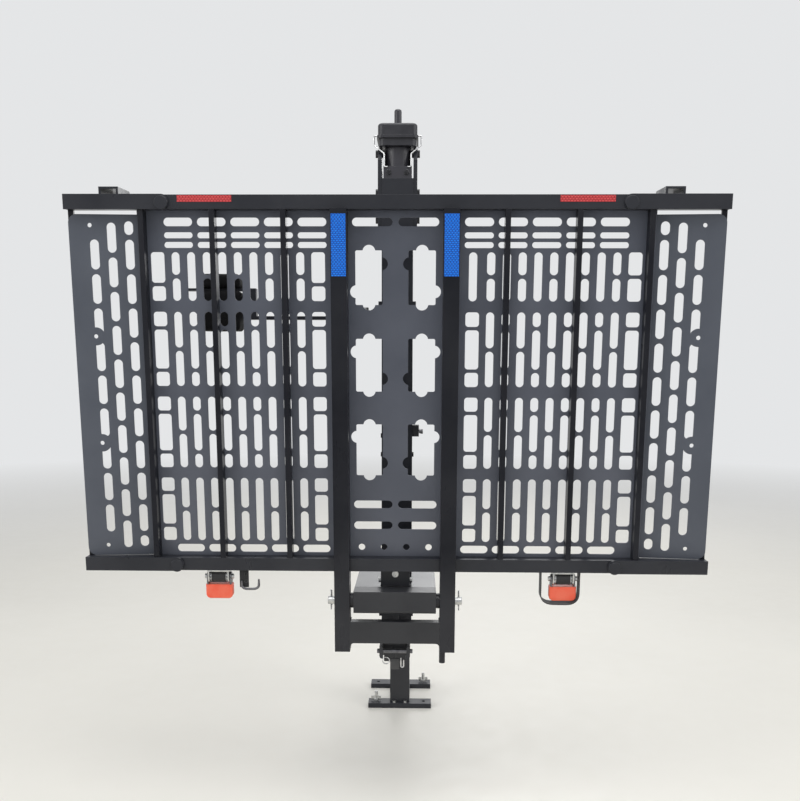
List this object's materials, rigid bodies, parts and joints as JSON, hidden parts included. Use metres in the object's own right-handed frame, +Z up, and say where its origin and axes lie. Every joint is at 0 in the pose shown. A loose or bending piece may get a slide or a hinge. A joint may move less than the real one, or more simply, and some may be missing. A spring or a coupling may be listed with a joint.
{
  "type": "mobility scooter lift",
  "caption": "Hitch mounted powered lift for a mobility scooter, platform folded up against its mast, on a floor stand",
  "frame": {"origin": "on the floor under the middle of the stand post", "axes": "+X to the right seen from the platform side, +Y from the platform towards the vehicle, +Z up"},
  "size_m": [1.219, 0.775, 1.404],
  "materials": {
    "black_paint": "satin black powder coat",
    "zinc_steel": "zinc plated",
    "black_plastic": "moulded black",
    "pad_foam": "skinned foam rubber",
    "glide_plastic": "slippery bearing plastic",
    "motor_metal": "satin black",
    "bronze": "machined bronze",
    "blue_tape": "reflective tape with a cell pattern",
    "red_tape": "reflective tape with a cell pattern",
    "webbing": "woven strap",
    "orange_grip": "moulded orange-red grip"
  },
  "bodies": {
    "stand_and_mast": {"hitch_bar": "black_paint", "stand_receiver": "black_paint", "hitch_pin_and_clip": "zinc_steel", "stand_post": "black_paint", "stand_feet": "black_paint", "anchor_studs_and_wing_nuts": "zinc_steel", "stand_bolts": "zinc_steel", "mast_tube": "black_paint", "glide_pads": "glide_plastic", "head_side_plates": "black_paint", "mast_bolts": "zinc_steel", "cap_clips": "zinc_steel", "drive_flange": "black_paint", "motor_neck": "motor_metal", "motor_cap": "black_plastic", "limit_switch": "black_plastic"},
    "carriage": {"pivot_box": "black_paint", "pivot_shaft": "zinc_steel", "pivot_bushes": "glide_plastic", "shaft_clips": "zinc_steel", "top_plate": "black_paint", "carriage_web": "black_paint", "cheek_plates": "black_paint", "latch_bracket": "black_paint", "latch_bolt_and_pin": "zinc_steel", "lock_bracket": "black_paint", "lock_pin": "zinc_steel", "lock_ring_tag_and_clip": "zinc_steel", "inner_tube": "black_paint", "drive_nut": "bronze"},
    "platform": {"centre_deck_panel": "black_paint", "left_deck_panel": "black_paint", "right_deck_panel": "black_paint", "left_ramp_plate": "black_paint", "right_ramp_plate": "black_paint", "upper_rail": "black_paint", "lower_rail": "black_paint", "rail_end_plates": "black_paint", "deck_stiffeners": "black_paint", "ramp_edge_bars": "black_paint", "left_swing_arm": "black_paint", "right_swing_arm": "black_paint", "cross_plate": "black_paint", "blue_reflective_tapes": "blue_tape", "red_reflective_tapes": "red_tape", "tie_down_pockets": "black_paint", "ratchet_frames_and_spools": "zinc_steel", "strap_loop": "webbing", "strap_hook": "webbing"},
    "left_handle": {"left_handle_plates": "zinc_steel", "left_handle_grip": "orange_grip"},
    "right_handle": {"right_handle_plates": "zinc_steel", "right_handle_grip": "orange_grip"},
    "collar": {"slide_collar": "black_paint", "hub_pin": "zinc_steel"},
    "hold_down": {"hold_down_arm": "black_paint", "hold_down_pads": "pad_foam"},
    "drive": {"drive_screw": "zinc_steel"},
    "lever": {"switch_lever": "zinc_steel"}
  },
  "joints": [
    {"name": "lift_slide", "type": "slide", "parent": "stand_and_mast", "child": "carriage", "axis": [0, 0, -1], "range_m": [0, 0.235]},
    {"name": "platform_fold", "type": "hinge", "parent": "carriage", "child": "platform", "pos_m": [0, -0.571, 0.43], "axis": [1, 0, 0], "range_deg": [0, 87]},
    {"name": "left_handle_turn", "type": "hinge", "parent": "platform", "child": "left_handle", "pos_m": [-0.349, -0.56407, 0.47542], "axis": [1, 0, 0], "range_deg": [-100, 0]},
    {"name": "right_handle_turn", "type": "hinge", "parent": "platform", "child": "right_handle", "pos_m": [0.331, -0.56407, 0.47542], "axis": [1, 0, 0], "range_deg": [-100, 0]},
    {"name": "hold_down_slide", "type": "slide", "parent": "stand_and_mast", "child": "collar", "axis": [0, 0, 1], "range_m": [-0.2, 0.08]},
    {"name": "hold_down_swing", "type": "hinge", "parent": "collar", "child": "hold_down", "pos_m": [-0.066, -0.40525, 0.989], "axis": [0, 0, 1], "range_deg": [-95, 15]},
    {"name": "screw_turn", "type": "hinge", "parent": "stand_and_mast", "child": "drive", "pos_m": [0, -0.40525, 1], "axis": [0, 0, 1], "range_deg": [0, 8461]},
    {"name": "switch_lever_turn", "type": "hinge", "parent": "stand_and_mast", "child": "lever", "pos_m": [0.0476, -0.41325, 0.756], "axis": [1, 0, 0], "range_deg": [-20, 20], "stiffness_Nm_per_rad": 0.05}
  ],
  "couplings": [
    {"joint": "screw_turn", "follows": "lift_slide", "rad_per_m": 628.32}
  ]
}
